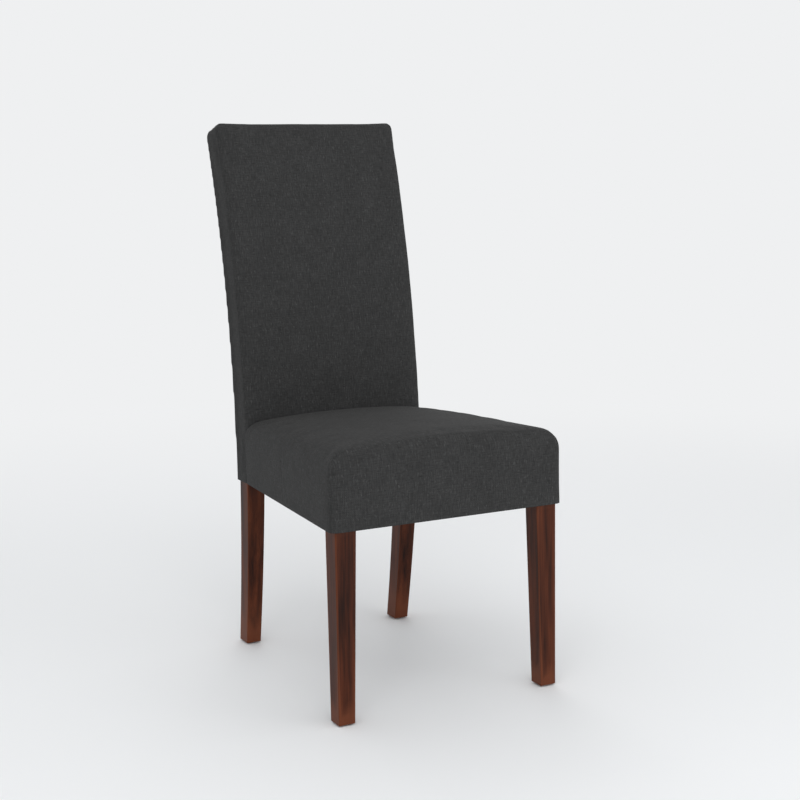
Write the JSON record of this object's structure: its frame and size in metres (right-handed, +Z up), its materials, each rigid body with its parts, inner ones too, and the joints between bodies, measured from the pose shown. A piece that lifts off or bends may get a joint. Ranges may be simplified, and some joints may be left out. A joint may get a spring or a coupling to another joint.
{
  "type": "parsons chair",
  "caption": "Armless upholstered dining chair with a domed seat, a tall slim curved back, square tapered front legs and rear legs that sweep backwards.",
  "frame": {"origin": "on the floor, at the centre of the overall footprint", "axes": "+X to the sitter's left, -Y is the way the chair faces, +Z up"},
  "size_m": [0.4436, 0.6149, 1.0156],
  "materials": {
    "stained_wood": "satin",
    "frame_wood": "matte",
    "cover_fabric": "matte",
    "wadding": "matte",
    "foam": "matte",
    "jute_webbing": "matte",
    "hessian": "matte",
    "dust_cloth": "matte",
    "upholstery_card": "matte",
    "glide_nylon": "matte",
    "zinc_steel": "satin"
  },
  "bodies": {
    "root": {"back_cover": "cover_fabric", "back_foam": "foam", "back_hessian": "hessian", "back_lower_rail": "frame_wood", "back_middle_rail": "frame_wood", "back_top_rail": "frame_wood", "back_wadding": "wadding", "back_webbing": "jute_webbing", "corner_block_front_left": "frame_wood", "corner_block_front_right": "frame_wood", "corner_block_rear_left": "frame_wood", "corner_block_rear_right": "frame_wood", "corner_block_screws": "zinc_steel", "dust_cover": "dust_cloth", "front_leg_left": "stained_wood", "front_leg_right": "stained_wood", "front_rail": "frame_wood", "glide_front_left": "glide_nylon", "glide_front_right": "glide_nylon", "glide_nails": "zinc_steel", "glide_rear_left": "glide_nylon", "glide_rear_right": "glide_nylon", "rear_card": "upholstery_card", "rear_cover": "cover_fabric", "rear_post_left": "stained_wood", "rear_post_right": "stained_wood", "rear_rail": "frame_wood", "rear_wadding": "wadding", "seat_cover": "cover_fabric", "seat_foam": "foam", "seat_hessian": "hessian", "seat_wadding": "wadding", "seat_webbing_crosswise": "jute_webbing", "seat_webbing_lengthwise": "jute_webbing", "side_rail_left": "frame_wood", "side_rail_right": "frame_wood", "side_tack_strips": "upholstery_card", "top_tack_strip": "upholstery_card"}
  },
  "joints": []
}
